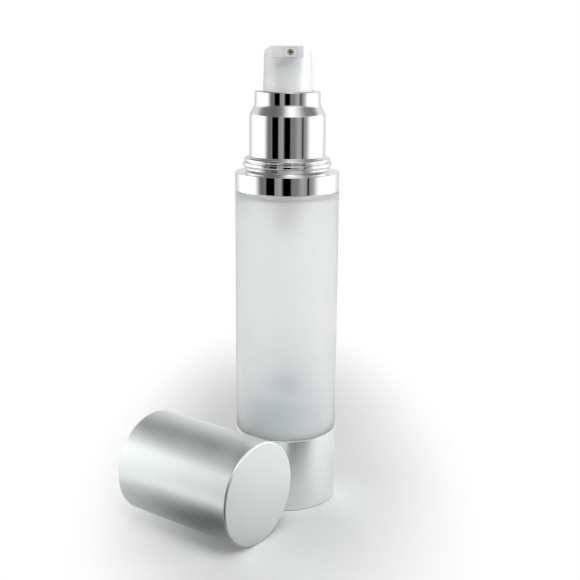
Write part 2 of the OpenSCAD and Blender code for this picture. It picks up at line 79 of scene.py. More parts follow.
def turned(name, outline, steps=160):
    """A piece turned on the bottle's axis from a closed outline of radii and heights in millimetres."""
    bpy.ops.object.select_all(action="DESELECT")
    bpy.ops.mesh.primitive_plane_add(size=MM, enter_editmode=True, location=(0, 0, 0))
    piece = bpy.context.object
    piece.name = piece.data.name = name
    bpy.ops.mesh.merge(type="CENTER")
    bpy.ops.transform.translate(value=(outline[0][0] * MM, 0, outline[0][1] * MM))
    for (r0, z0), (r1, z1) in zip(outline, outline[1:] + outline[:1]):
        step = ((r1 - r0) * MM, 0, (z1 - z0) * MM)
        bpy.ops.mesh.extrude_region_move(TRANSFORM_OT_translate={"value": step})
    bpy.ops.mesh.select_all(action="SELECT")
    bpy.ops.mesh.spin(steps=steps, angle=math.tau, center=(0, 0, 0), axis=AXIS_UP)
    tidy_shell()
    return piece


def drum(radius, length, centre, along=AXIS_UP, sides=96):
    """A round cutter: its radius, length and centre in millimetres, and the direction it runs in."""
    bpy.ops.object.select_all(action="DESELECT")
    bpy.ops.mesh.primitive_cylinder_add(vertices=sides, radius=radius * MM, depth=length * MM)
    cutter = bpy.context.object
    cutter.matrix_world = (Matrix.Translation(Vector(centre) * MM)
                           @ Vector(AXIS_UP).rotation_difference(Vector(along)).to_matrix().to_4x4())
    bpy.ops.object.transform_apply(location=True, rotation=True, scale=True)
    return cutter


def combine(piece, other, operation):
    """Joins another solid to the piece or takes its space out of it, and removes the other."""
    bpy.ops.object.select_all(action="DESELECT")
    piece.select_set(True)
    bpy.context.view_layer.objects.active = piece
    bpy.ops.object.modifier_add(type="BOOLEAN")
    tool = piece.modifiers[-1]
    tool.operation, tool.solver, tool.object = operation, "EXACT", other
    bpy.ops.object.modifier_apply(modifier=tool.name)
    bpy.data.objects.remove(other, do_unlink=True)


def cut(piece, cutter):
    """Takes the cutter's space out of the piece."""
    combine(piece, cutter, "DIFFERENCE")


def fine_skin():
    """Shared effect: a fine grain with its normal, and broad soft clouds such as handling leaves."""
    group = bpy.data.node_groups.new("fine_skin", "ShaderNodeTree")
    for label, default in (("Grain Scale", 4000), ("Grain Depth", 0.00001), ("Cloud Scale", 60)):
        socket = group.interface.new_socket(label, in_out="INPUT", socket_type="NodeSocketFloat")
        socket.default_value = default
    for label, kind in (("Grain", "Float"), ("Clouds", "Float"), ("Normal", "Vector")):
        group.interface.new_socket(label, in_out="OUTPUT", socket_type="NodeSocket" + kind)
    nodes, links = group.nodes, group.links
    into, out = nodes.new("NodeGroupInput"), nodes.new("NodeGroupOutput")
    place = nodes.new("ShaderNodeTexCoord")
    grain, clouds = nodes.new("ShaderNodeTexNoise"), nodes.new("ShaderNodeTexNoise")
    grain.inputs["Detail"].default_value = 3
    clouds.inputs["Detail"].default_value = 4
    clouds.inputs["Distortion"].default_value = 0.6
    bump = nodes.new("ShaderNodeBump")
    for texture, scale in ((grain, "Grain Scale"), (clouds, "Cloud Scale")):
        links.new(place.outputs["Object"], texture.inputs["Vector"])
        links.new(into.outputs[scale], texture.inputs["Scale"])
    links.new(grain.outputs["Fac"], bump.inputs["Height"])
    links.new(into.outputs["Grain Depth"], bump.inputs["Distance"])
    links.new(grain.outputs["Fac"], out.inputs["Grain"])
    links.new(clouds.outputs["Fac"], out.inputs["Clouds"])
    links.new(bump.outputs["Normal"], out.inputs["Normal"])
    return group


skin = fine_skin()
tone_low, tone_high, cloud_low, cloud_high = 0.1, 0.45, 0.3, 0.7


def span(node, low, high, side="From"):
    """Sets the two ends of the range that a Map Range node reads from or maps to."""
    node.inputs[side + " Min"].default_value = low
    node.inputs[side + " Max"].default_value = high


def finish(name, light, dark, rough, grain_scale, grain_depth, cloud_scale, plain):
    """A material whose colour runs between two tones and whose roughness runs between two values.

    Grain and clouds drive both. Plain holds the sockets that are the same all over the surface.
    """
    material = bpy.data.materials.new(name)
    material.use_nodes = True
    nodes, links = material.node_tree.nodes, material.node_tree.links
    surface = nodes["Principled BSDF"]
    effect = nodes.new("ShaderNodeGroup")
    effect.node_tree = skin
    for label, value in (("Grain Scale", grain_scale), ("Grain Depth", grain_depth),
                         ("Cloud Scale", cloud_scale)):
        effect.inputs[label].default_value = value
    blend = nodes.new("ShaderNodeMath")
    blend.operation = "MULTIPLY"
    links.new(effect.outputs["Grain"], blend.inputs[0])
    links.new(effect.outputs["Clouds"], blend.inputs[1])
    share = nodes.new("ShaderNodeMapRange")
    span(share, tone_low, tone_high)
    links.new(blend.outputs["Value"], share.inputs["Value"])
    tones = nodes.new("ShaderNodeMix")
    tones.data_type = "RGBA"
    tones.inputs["A"].default_value = (*dark, 1)
    tones.inputs["B"].default_value = (*light, 1)
    links.new(share.outputs["Result"], tones.inputs["Factor"])
    links.new(tones.outputs["Result"], surface.inputs["Base Color"])
    gloss = nodes.new("ShaderNodeMapRange")
    span(gloss, cloud_low, cloud_high)
    span(gloss, *rough, side="To")
    links.new(effect.outputs["Clouds"], gloss.inputs["Value"])
    links.new(gloss.outputs["Result"], surface.inputs["Roughness"])
    links.new(effect.outputs["Normal"], surface.inputs["Normal"])
    for label, value in plain.items():
        surface.inputs[label].default_value = value
    return material


def dress(piece, material, body, slot, *nodes):
    """Gives a piece its material and its body, and hides the solids it stands for. Its slot is not used.
    """
    piece.data.materials.clear()
    piece.data.materials.append(material)
    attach(piece, body)
    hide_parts(*nodes)


satin_aluminium = finish(
    "satin_aluminium", light=(0.79, 0.83, 0.81), dark=(0.74, 0.78, 0.76), rough=(0.34, 0.40),
    grain_scale=2200, grain_depth=0.0000008, cloud_scale=70, plain={"Metallic": 1.0})
base_foot, base_top = (corner.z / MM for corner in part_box("base_shell"))
body_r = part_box("base_shell")[1].x / MM
shell_wall, shell_floor, shell_edge, shell_rim = 0.6, 0.8, 0.6, 0.2
shell_in_rim, shell_root = 0.1, 0.5
base_shell = turned("base_shell_drawn", [
    (0, base_foot),
    *arc(body_r - shell_edge, base_foot + shell_edge, shell_edge, -90, 0),
    *arc(body_r - shell_rim, base_top - shell_rim, shell_rim, 0, 90, 5),
    *arc(body_r - shell_wall + shell_in_rim, base_top - shell_in_rim, shell_in_rim, 90, 180, 3),
    *arc(body_r - shell_wall - shell_root, shell_floor + shell_root, shell_root, 0, -90, 5),
    (0, shell_floor)])
vent_r, vent_x, vent_cut = 0.8, 9, 4
cut(base_shell, drum(vent_r, vent_cut, (vent_x, 0, 0), sides=32))
tidy_shell()
even_normals(base_shell)
dress(base_shell, satin_aluminium, "bottle", "satin_aluminium", "base_shell")

# Base plug: an injection-moulded closure with ribs, a hub and a sleeve, hidden in the foot of the tube.
# It shows only through the frosted wall and down the vent hole, so its solid stays and gets its plastic.
white_plastic = finish(
    "white_plastic", light=(0.84, 0.84, 0.83), dark=(0.79, 0.79, 0.78), rough=(0.38, 0.5),
    grain_scale=1800, grain_depth=0.00001, cloud_scale=90,
    plain={"IOR": 1.49, "Subsurface Weight": 0.08, "Subsurface Scale": 0.001})


def moulded(material, *names):
    """Gives solids that are kept from the frame their finish."""
    for name in names:
        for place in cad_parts[name].material_slots:
            place.material = material


moulded(white_plastic, "base_plug")

# Bottle tube: thick clear plastic, blow-moulded, frosted outside and softer inside, with a rounded lip
# over the base, a flat shoulder and a neck with a bead. Base plug and closure ring are pressed onto it.
frosted = finish(
    "frosted_tube", light=(0.985, 0.99, 0.99), dark=(0.965, 0.97, 0.97), rough=(0.60, 0.68),
    grain_scale=2000, grain_depth=0.000002, cloud_scale=50,
    plain={"IOR": 1.47, "Transmission Weight": 0.8, "Specular IOR Level": 0.8})
bore_wall = finish(
    "tube_bore", light=(0.985, 0.99, 0.99), dark=(0.965, 0.97, 0.97), rough=(0.34, 0.40),
    grain_scale=900, grain_depth=0.000001, cloud_scale=50,
    plain={"IOR": 1.47, "Transmission Weight": 0.96})
tube_foot, tube_rim = (corner.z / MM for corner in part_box("bottle_tube"))
tube_seam, tube_top, tube_wall = 25.9, 109.8, 2
lip_r, skirt_r, shoulder_t, top_edge = 0.6, 16.8, 2.2, 0.2
neck_in_r, neck_r, neck_bead_z, neck_bead_r, neck_bead_in = 9.8, 11.6, 112.2, 0.85, 0.45
bore_r, bore_reach = body_r - tube_wall, 0.2
tube = turned("bottle_tube_frosted", [
    (bore_r, tube_foot), (skirt_r, tube_foot), (skirt_r, tube_seam),
    *arc(body_r - lip_r, tube_seam + lip_r, lip_r, -90, 0),
    *arc(body_r - top_edge, tube_top - top_edge, top_edge, 0, 90, 4),
    (neck_r, tube_top), *arc(neck_r - neck_bead_in, neck_bead_z, neck_bead_r, -45, 45, 6),
    (neck_r, tube_rim), (neck_in_r, tube_rim), (neck_in_r, tube_top - shoulder_t),
    (bore_r, tube_top - shoulder_t)])
even_normals(tube)
dress(tube, frosted, "bottle", "frosted_tube", "bottle_tube")
tube.data.materials.append(bore_wall)
for face in tube.data.polygons:
    if math.hypot(face.center.x, face.center.y) < (bore_r + bore_reach) * MM:
        face.material_index = 1

# Follower piston: a moulded cup with two wiping lips, which the air behind it pushes up the bore.
# Seen only as a soft bluish shade through the frosting, so its solid stays and gets its plastic.
follower_plastic = finish(
    "follower_plastic", light=(0.665, 0.715, 0.725), dark=(0.615, 0.665, 0.675), rough=(0.35, 0.45),
    grain_scale=1500, grain_depth=0.00001, cloud_scale=80, plain={"IOR": 1.5})
moulded(follower_plastic, "follower_piston")

# Pump in the neck: housing, rod, hollow stem, ball retainer and housing cap are white mouldings, the
# piston is a softer one, both seals are rubber, and the inlet ball is stainless steel.
piston_plastic = finish(
    "piston_plastic", light=(0.82, 0.80, 0.74), dark=(0.77, 0.75, 0.69), rough=(0.4, 0.5),
    grain_scale=1500, grain_depth=0.00001, cloud_scale=80, plain={"IOR": 1.5, "Subsurface Weight": 0.05})
rubber = finish(
    "rubber", light=(0.05, 0.05, 0.052), dark=(0.035, 0.035, 0.037), rough=(0.6, 0.75),
    grain_scale=2600, grain_depth=0.00002, cloud_scale=120,
    plain={"IOR": 1.52, "Specular IOR Level": 0.35})
steel = finish(
    "steel", light=(0.66, 0.66, 0.65), dark=(0.58, 0.58, 0.57), rough=(0.16, 0.26),
    grain_scale=3000, grain_depth=0.000002, cloud_scale=200, plain={"Metallic": 1.0})
moulded(white_plastic, "pump_housing", "ball_retainer", "piston_rod", "stem", "housing_cap",
        "closure_ring")
moulded(piston_plastic, "pump_piston")
moulded(rubber, "neck_gasket", "stem_gasket")
moulded(steel, "inlet_ball")

# Return spring: stainless wire wound round the stem, with a closed turn at each end, between the guide
# tower and the roof of the head's bore. It shortens by the stroke as the head is pressed.
wire_r, coil_r, coil_foot, coil_rise = 0.3, 2.55, 128.82, 16.86
coil_turns, end_pitch, turn_steps, wire_sides = 9, 1.2, 24, 10
shortening, crisp_wire = 5.02, 60


def coil_height(turn):
    """Height of the wire's centre above the coil's foot, after a number of turns."""
    middle = (coil_rise - 2 * end_pitch) / (coil_turns - 2)
    return (end_pitch * min(turn, 1) + middle * min(max(turn - 1, 0), coil_turns - 2)
            + end_pitch * max(turn - coil_turns + 1, 0))


bpy.ops.object.select_all(action="DESELECT")
bpy.ops.mesh.primitive_circle_add(
    vertices=wire_sides, radius=wire_r * MM, fill_type="NGON", enter_editmode=True,
    location=(coil_r * MM, 0, coil_foot * MM), rotation=(math.radians(90), 0, 0))
spring = bpy.context.object
spring.name = spring.data.name = "return_spring_wound"
for index in range(coil_turns * turn_steps):
    rise = coil_height((index + 1) / turn_steps) - coil_height(index / turn_steps)
    bpy.ops.mesh.extrude_region_move(TRANSFORM_OT_translate={"value": (0, 0, rise * MM)})
    bpy.ops.transform.rotate(value=-math.tau / turn_steps, orient_axis="Z", center_override=(0, 0, 0))
bpy.ops.object.mode_set(mode="OBJECT")
bpy.ops.object.transform_apply(location=True, rotation=True, scale=True)
tidy_shell(crisp_wire)
dress(spring, steel, "bottle", "steel", "return_spring")
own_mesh(spring)

# Collar: one moulding plated to a mirror, with a flange as wide as the tube, three rings that the cap
# clicks over, a plain cylinder, a short cone and a thick rounded mouth in which the head slides.
mirror_plating = finish(
    "mirror_plating", light=(0.93, 0.93, 0.935), dark=(0.90, 0.90, 0.905), rough=(0.03, 0.055),
    grain_scale=900, grain_depth=0.0000006, cloud_scale=45, plain={"Metallic": 1.0})
collar_foot, rim_z = (corner.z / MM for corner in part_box("collar_shell"))
flange_top, flange_edge, groove_r = 115.9, 0.25, 13.9
low_z, pitch, ring_round, ring_open, ring_out = 117.15, 1.45, 0.62, 50, 14.4
bead_out, bead_land, top_ring_round, top_ring_open = 14.9, 0.4, 0.8, 70
upper_foot_r, upper_top_r, upper_top_z, fillet_r, foot_z = 12.75, 12.7, 134.7, 0.45, 121.45
mouth_r, mouth_bore_r, mouth_in_z, cone_top_z, cone_reach = 10.95, 8.75, 137.0, 138.1, 0.9
cone_in_r, cone_in_z, rim_out, rim_in = 9.85, 133.6, 0.5, 0.3
sleeve_r, inner_r, in_top_z, relief_z = 13.2, 11.6, 120.35, 110.4
pocket_in_r, pocket_out_r, pocket_top_z = 14.318, 16.382, 114.7


def soften(before, corner, after, reach=0.5, steps=8):
    """Points that round a corner of an outline, starting and ending at the given distance from it."""
    def towards(end):
        away = math.dist(corner, end)
        return tuple(c + (e - c) * reach / away for c, e in zip(corner, end))
    a, c = towards(before), towards(after)
    return [tuple((1 - t) ** 2 * p + 2 * t * (1 - t) * q + t * t * s for p, q, s in zip(a, corner, c))
            for t in (i / steps for i in range(steps + 1))]


upper_foot, upper_corner = (upper_foot_r, foot_z), (upper_top_r, upper_top_z)
cone_corner = (mouth_r, cone_top_z)
collar = turned("collar_plated", [
    *arc(body_r - flange_edge, collar_foot + flange_edge, flange_edge, -90, 0),
    *arc(body_r - flange_edge, flange_top - flange_edge, flange_edge, 0, 90),
    (groove_r, flange_top),
    *arc(ring_out - ring_round, low_z, ring_round, -ring_open, ring_open, 12),
    (groove_r, low_z + pitch / 2),
    *arc(bead_out - ring_round, low_z + pitch - bead_land / 2, ring_round, -ring_open, 0),
    *arc(bead_out - ring_round, low_z + pitch + bead_land / 2, ring_round, 0, ring_open),
    (groove_r, low_z + 1.5 * pitch),
    *arc(ring_out - ring_round, low_z + 2 * pitch, ring_round, -ring_open, 0),
    *arc(ring_out - top_ring_round, low_z + 2 * pitch, top_ring_round, 0, top_ring_open, 10),
    *arc(upper_foot_r + fillet_r, foot_z, fillet_r, -90, -180),
    *soften(upper_foot, upper_corner, cone_corner),
    *soften(upper_corner, cone_corner, (mouth_r, rim_z), cone_reach, 12),
    *arc(mouth_r - rim_out, rim_z - rim_out, rim_out, 0, 90, 12),
    *arc(mouth_bore_r + rim_in, rim_z - rim_in, rim_in, 90, 180),
    (mouth_bore_r, mouth_in_z), (cone_in_r, mouth_in_z), (inner_r, cone_in_z), (inner_r, in_top_z),
    (sleeve_r, in_top_z), (sleeve_r, relief_z), (pocket_in_r, relief_z), (pocket_in_r, pocket_top_z),
    (pocket_out_r, pocket_top_z), (pocket_out_r, collar_foot)], steps=224)
even_normals(collar)
dress(collar, mirror_plating, "bottle", "mirror_plating", "collar_shell")

# Head: a white moulding that is pressed down with a finger. It is a plain drafted cup with a bevelled
# top. A square spout block, a little taller than the bevel, stands out at the front for the nozzle.
head_plastic = finish(
    "head_plastic", light=(0.90, 0.905, 0.91), dark=(0.87, 0.875, 0.88), rough=(0.24, 0.3),
    grain_scale=900, grain_depth=0.000003, cloud_scale=60,
    plain={"IOR": 1.49, "Subsurface Weight": 0.4, "Subsurface Scale": 0.0015,
           "Subsurface Radius": (1, 1, 1)})
head_foot, head_top = (corner.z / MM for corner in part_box("actuator"))
head_foot_r, head_r, bevel_z, bevel_top_r, head_edge = 8.48, 7.78, 155.4, 5.4, 0.3
spout_y, spout_back, spout_foot, spout_half, spout_edge = 10.2, 2, 153.3, 5.1, 0.3
core_r, spring_bore_r, stem_hole_r, pocket_r, pocket_top = 4.5, 3.3, 2.03, 6.68, 152.2
spring_roof, socket_top = 146.0, 151.6
insert_x, insert_w, insert_foot, insert_top, insert_d = 0.75, 3.9, 153.45, 156.4, 1.35
nozzle_z, orifice_r, orifice_d, outlet_r = 154.925, 1.05, 0.8, 0.35
spigot_r, spigot_d, spigot_cut, fit, over, face_over = 1.375, 1.9, 2.5, 0.05, 2, 1
core_mid_z, core_cut, stem_hole_z, channel_r, channel_z, outlet_bore_r = 145, 60, 140, 1.1, 150, 1.0
AXIS_BACK = (0, 1, 0)


def block(low, high):
    """A square cutter between two corners in millimetres."""
    bpy.ops.object.select_all(action="DESELECT")
    bpy.ops.mesh.primitive_cube_add(size=MM, enter_editmode=True)
    size = [h - l for l, h in zip(low, high)]
    bpy.ops.transform.resize(value=size, center_override=(0, 0, 0))
    bpy.ops.transform.translate(value=[(l + h) / 2 * MM for l, h in zip(low, high)])
    bpy.ops.object.mode_set(mode="OBJECT")
    return bpy.context.object


def round_edges(piece, width, steps=3, angle=35):
    """Breaks the sharp edges of a moulding with a small radius."""
    bpy.ops.object.modifier_add(type="BEVEL")
    edge = piece.modifiers[-1]
    edge.width, edge.segments, edge.limit_method = width * MM, steps, "ANGLE"
    edge.angle_limit, edge.miter_outer = math.radians(angle), "MITER_ARC"
    bpy.ops.object.modifier_apply(modifier=edge.name)


def join(piece, addition):
    """Makes one solid of a piece and an addition that overlaps it."""
    combine(piece, addition, "UNION")


side, shoulder, crown = (head_foot_r, head_foot), (head_r, bevel_z), (bevel_top_r, head_top)
head_outline = [(0, head_foot), side, *soften(side, shoulder, crown, head_edge),
                *soften(shoulder, crown, (0, head_top), head_edge), (0, head_top)]
head = turned("actuator_head", head_outline, steps=128)
spout = block((-spout_half, -spout_y, spout_foot), (spout_half, -spout_back, head_top))
round_edges(spout, spout_edge, 4)
join(head, spout)
inside = drum(pocket_r, pocket_top - head_foot + over, (0, 0, (pocket_top + head_foot - over) / 2))
cut(inside, drum(core_r, core_cut, (0, 0, core_mid_z)))
cut(head, inside)
cut(head, drum(spring_bore_r, spring_roof - head_foot + over,
               (0, 0, (spring_roof + head_foot - over) / 2)))
cut(head, drum(stem_hole_r, socket_top - stem_hole_z, (0, 0, (socket_top + stem_hole_z) / 2)))
cut(head, drum(channel_r, nozzle_z - channel_z, (0, 0, (nozzle_z + channel_z) / 2), sides=48))
cut(head, drum(outlet_bore_r, spout_y, (insert_x, -spout_y / 2, nozzle_z), along=AXIS_BACK, sides=48))
cut(head, block((insert_x - insert_w / 2 - fit, -spout_y - face_over, insert_foot - fit),
                (insert_x + insert_w / 2 + fit, -spout_y + insert_d + fit, insert_top + fit)))
cut(head, drum(spigot_r + fit, spigot_cut,
               (insert_x, -spout_y + insert_d + spigot_d + fit - spigot_cut / 2, nozzle_z),
               along=AXIS_BACK, sides=48))
tidy_shell()
even_normals(head)
dress(head, head_plastic, "head", "head_plastic", "actuator")

# Nozzle insert: a small plate of a cooler grey-violet plastic, pressed flush into the block's face with
# a round spigot behind it, through which the product's outlet runs.
insert_plastic = finish(
    "insert_plastic", light=(0.88, 0.87, 0.88), dark=(0.84, 0.83, 0.84), rough=(0.30, 0.4),
    grain_scale=1500, grain_depth=0.000008, cloud_scale=200,
    plain={"IOR": 1.49, "Subsurface Weight": 0.1, "Subsurface Scale": 0.001})
# The orifice's wall gets a darker tan, which is painted shade inside the hole.
orifice_painted_shade = finish(
    "orifice_painted_shade", light=(0.72, 0.66, 0.49), dark=(0.62, 0.56, 0.41), rough=(0.35, 0.5),
    grain_scale=1500, grain_depth=0.000008, cloud_scale=200, plain={"IOR": 1.49})
spigot_root, outlet_cut, insert_edge, insert_crisp = 0.4, 12, 0.08, 35
painted_shade_rim, painted_shade_start = 0.01, 0.06
insert = block((insert_x - insert_w / 2, -spout_y, insert_foot),
               (insert_x + insert_w / 2, -spout_y + insert_d, insert_top))
insert.name = insert.data.name = "nozzle_insert_plate"
join(insert, drum(spigot_r, spigot_d + spigot_root,
                  (insert_x, -spout_y + insert_d + spigot_d / 2 - spigot_root / 2, nozzle_z),
                  along=AXIS_BACK, sides=64))
cut(insert, drum(orifice_r, 2 * orifice_d, (insert_x, -spout_y, nozzle_z), along=AXIS_BACK, sides=64))
cut(insert, drum(outlet_r, outlet_cut, (insert_x, -spout_y, nozzle_z), along=AXIS_BACK, sides=32))
tidy_shell()
round_edges(insert, insert_edge)
bpy.ops.object.shade_smooth_by_angle(angle=math.radians(insert_crisp))
even_normals(insert)
dress(insert, insert_plastic, "head", "insert_plastic", "nozzle_insert")
# Painted shade: the faces inside the orifice, behind its front edge, take the darker tan.
insert.data.materials.append(orifice_painted_shade)
for face in insert.data.polygons:
    off = math.hypot(face.center.x - insert_x * MM, face.center.z - nozzle_z * MM)
    if off < (orifice_r + painted_shade_rim) * MM and face.center.y > (-spout_y + painted_shade_start) * MM:
        face.material_index = 1

# Cap: a drawn aluminium shell with the base's satin finish, pressed over a plastic liner whose land
# clicks over the collar's middle ring. It lies on its side, with its closed end towards the camera.
cap_r, cap_len, cap_wall, cap_edge, cap_end = 17.3, 46.2, 0.6, 0.7, 0.8
cap_turn, cap_past, cap_gap = 143.4, 17.6, 2.9
laid = (Matrix.Rotation(math.radians(cap_turn), 4, "Z")
        @ Matrix.Translation(Vector((-cap_past, body_r + cap_r + cap_gap, cap_r)) * MM)
        @ Matrix.Rotation(math.radians(90), 4, "Y"))


def lay_down(piece):
    """Lays a piece of the cap, turned upright, on the floor beside the bottle."""
    piece.matrix_world = laid
    bpy.ops.object.transform_apply(location=True, rotation=True, scale=True)


cap_shell = turned("cap_shell_drawn", [
    (0, 0), *arc(cap_r - cap_edge, cap_edge, cap_edge, -90, 0, 10),
    *arc(cap_r - shell_rim, cap_len - shell_rim, shell_rim, 0, 90, 5),
    *arc(cap_r - cap_wall + shell_in_rim, cap_len - shell_in_rim, shell_in_rim, 90, 180, 3),
    *arc(cap_r - cap_wall - shell_root, cap_end + shell_root, shell_root, 0, -90, 5),
    (0, cap_end)], steps=192)
even_normals(cap_shell)
lay_down(cap_shell)
dress(cap_shell, satin_aluminium, "cap", "satin_aluminium", "cap_shell")

# Cap liner: a white moulded cup pressed into the shell, its mouth a little inside the shell's rim. It is
# thicker near the mouth, where its land holds on the collar's middle ring.
liner_r, liner_in_r, liner_end, liner_recess = 16.65, 15.75, 0.9, 0.5
snap_r, snap_len, snap_ramp, snap_edge = 15.0, 6, 1, 0.3
liner_foot, liner_rim, liner_root = 0.5, 0.2, 1
liner_mouth = cap_len - liner_recess
liner = turned("cap_liner_moulded", [
    (0, cap_end), (liner_r - liner_foot, cap_end), (liner_r, cap_end + liner_foot),
    *arc(liner_r - liner_rim, liner_mouth - liner_rim, liner_rim, 0, 90, 4),
    *arc(snap_r + snap_edge, liner_mouth - snap_edge, snap_edge, 90, 180, 4),
    (snap_r, liner_mouth - snap_len), (liner_in_r, liner_mouth - snap_len - snap_ramp),
    *arc(liner_in_r - liner_root, cap_end + liner_end + liner_root, liner_root, 0, -90, 6),
    (0, cap_end + liner_end)])
even_normals(liner)
lay_down(liner)
dress(liner, white_plastic, "cap", "white_plastic", "cap_liner")

# Studio floor: a plain pale sheet that fades into the white ground away from the bottle, in an oval
# that is narrower across the picture than along it.
fade_centre, fade_reach = (-0.003, 0.03, 0), (0.072, 0.19, 1)
fade_start, fade_end, floor_r, floor_tone = 0.35, 1.05, 3, (0.73, 0.73, 0.735, 1)


def glows(nodes, links):
    """One where the camera, a mirror or glass looks, and zero where a surface gathers light."""
    path, first, second = (nodes.new(kind) for kind in
                           ("ShaderNodeLightPath", "ShaderNodeMath", "ShaderNodeMath"))
    first.operation = second.operation = "MAXIMUM"
    links.new(path.outputs["Is Camera Ray"], first.inputs[0])
    links.new(path.outputs["Is Glossy Ray"], first.inputs[1])
    links.new(first.outputs["Value"], second.inputs[0])
    links.new(path.outputs["Is Transmission Ray"], second.inputs[1])
    return second.outputs["Value"]


bpy.ops.object.select_all(action="DESELECT")
bpy.ops.mesh.primitive_circle_add(vertices=96, radius=floor_r, fill_type="NGON")
floor = bpy.context.object
floor.name = "studio_floor"
paper = bpy.data.materials.new("floor_paper")
paper.use_nodes = True
nodes, links = paper.node_tree.nodes, paper.node_tree.links
nodes.clear()
out = nodes.new("ShaderNodeOutputMaterial")
matt = nodes.new("ShaderNodeBsdfDiffuse")
matt.inputs["Color"].default_value = floor_tone
white = nodes.new("ShaderNodeEmission")
place, centred, away, fade = (nodes.new(kind) for kind in
                              ("ShaderNodeTexCoord", "ShaderNodeMapping", "ShaderNodeVectorMath",
                               "ShaderNodeMapRange"))
centred.inputs["Location"].default_value = [-c / reach for c, reach in zip(fade_centre, fade_reach)]
centred.inputs["Scale"].default_value = [1 / reach for reach in fade_reach]
away.operation = "LENGTH"
fade.interpolation_type = "SMOOTHSTEP"
span(fade, fade_start, fade_end)
both, ground = nodes.new("ShaderNodeMath"), nodes.new("ShaderNodeMixShader")
both.operation = "MULTIPLY"
links.new(place.outputs["Object"], centred.inputs["Vector"])
links.new(centred.outputs["Vector"], away.inputs[0])
links.new(away.outputs["Value"], fade.inputs["Value"])
links.new(fade.outputs["Result"], both.inputs[0])
links.new(glows(nodes, links), both.inputs[1])
links.new(both.outputs["Value"], ground.inputs["Fac"])
links.new(matt.outputs["BSDF"], ground.inputs[1])
links.new(white.outputs["Emission"], ground.inputs[2])
links.new(ground.outputs["Shader"], out.inputs["Surface"])
floor.data.materials.append(paper)

# White surround: it shows as white behind the object, in metal and through the tube, and otherwise
# adds only a trace of light, so that the lamps shape the pieces.
world = bpy.data.worlds.new("studio")
bpy.context.scene.world = world
world.use_nodes = True
nodes, links = world.node_tree.nodes, world.node_tree.links
fill_level = 0.02
level = nodes.new("ShaderNodeMapRange")
span(level, fill_level, 1, side="To")
links.new(glows(nodes, links), level.inputs["Value"])
links.new(level.outputs["Result"], nodes["Background"].inputs["Strength"])
nodes["Background"].inputs["Color"].default_value = (1, 1, 1, 1)

# Boards round the table that only metal and gloss see: black and grey in front, which gives the plated
# collar its upright bands, bright on either side, and softer greys above. A grey ceiling, and two dark
# round cards on the table that only the metal sees, paint the floor's shade into the reflections of the
# cap and the base.
board_r, board_top, fade_low, fade_high = 0.335, 0.75, 0.195, 0.35
brightest, side_level = 1.45, 292
white_level, screen_gamma, plate_shine = 255, 2.2, 0.93


def grey(level):
    """The light that a board gives off to read as a given grey, from 0 to 255, in the plated metal."""
    return (level / white_level) ** screen_gamma / plate_shine


def glowing(card, strength=1.0):
    """Gives a card a plain light of its own, and returns the nodes that a pattern of greys goes to."""
    material = bpy.data.materials.new(card.name)
    material.use_nodes = True
    nodes, links = material.node_tree.nodes, material.node_tree.links
    nodes.clear()
    out, light = nodes.new("ShaderNodeOutputMaterial"), nodes.new("ShaderNodeEmission")
    light.inputs["Strength"].default_value = strength
    links.new(light.outputs["Emission"], out.inputs["Surface"])
    material.cycles.emission_sampling = "NONE"
    card.data.materials.append(material)
    card.visible_camera = card.visible_diffuse = card.visible_shadow = False
    card.visible_transmission = card.visible_volume_scatter = False
    return nodes, links, light


def ramp_of(nodes, links, turn, tones):
    """A row of greys round the bottle, even from one angle to the next."""
    start, end = tones[0][0], tones[-1][0]
    share, ramp = nodes.new("ShaderNodeMapRange"), nodes.new("ShaderNodeValToRGB")
    span(share, math.radians(start), math.radians(end))
    links.new(turn, share.inputs["Value"])
    links.new(share.outputs["Result"], ramp.inputs["Fac"])
    stops = ramp.color_ramp.elements
    for angle, tone in tones:
        position = (angle - start) / (end - start)
        stop = stops[0] if angle == start else stops[-1] if angle == end else stops.new(position)
        stop.color = (min(grey(tone) / brightest, 1),) * 3 + (1,)
    return ramp.outputs["Color"]


def boards(name, low, high):
    """A curved row of boards. Low and high list angles in degrees, from the camera's side towards the
    right, and the grey that the plated metal shows there, near the table and above the bottle."""
    start, end = math.radians(low[0][0]), math.radians(low[-1][0])
    bpy.ops.object.select_all(action="DESELECT")
    bpy.ops.mesh.primitive_plane_add(size=MM, enter_editmode=True, location=(0, 0, 0))
    row = bpy.context.object
    row.name = name
    bpy.ops.mesh.merge(type="CENTER")
    bpy.ops.transform.translate(value=(board_r * math.sin(start), -board_r * math.cos(start), 0))
    bpy.ops.mesh.extrude_region_move(TRANSFORM_OT_translate={"value": (0, 0, board_top)})
    bpy.ops.mesh.select_all(action="SELECT")
    bpy.ops.mesh.spin(steps=64, angle=start - end, center=(0, 0, 0), axis=AXIS_UP)
    bpy.ops.object.mode_set(mode="OBJECT")
    nodes, links, light = glowing(row, brightest)
    place, split = nodes.new("ShaderNodeTexCoord"), nodes.new("ShaderNodeSeparateXYZ")
    back, turn = nodes.new("ShaderNodeMath"), nodes.new("ShaderNodeMath")
    back.operation, turn.operation = "MULTIPLY", "ARCTAN2"
    back.inputs[1].default_value = -1
    links.new(place.outputs["Object"], split.inputs["Vector"])
    links.new(split.outputs["Y"], back.inputs[0])
    links.new(split.outputs["X"], turn.inputs[0])
    links.new(back.outputs["Value"], turn.inputs[1])
    rise, tones = nodes.new("ShaderNodeMapRange"), nodes.new("ShaderNodeMix")
    rise.interpolation_type = "SMOOTHSTEP"
    span(rise, fade_low, fade_high)
    tones.data_type = "RGBA"
    links.new(split.outputs["Z"], rise.inputs["Value"])
    links.new(rise.outputs["Result"], tones.inputs["Factor"])
    links.new(ramp_of(nodes, links, turn.outputs["Value"], low), tones.inputs["A"])
    links.new(ramp_of(nodes, links, turn.outputs["Value"], high), tones.inputs["B"])
    links.new(tones.outputs["Result"], light.inputs["Color"])


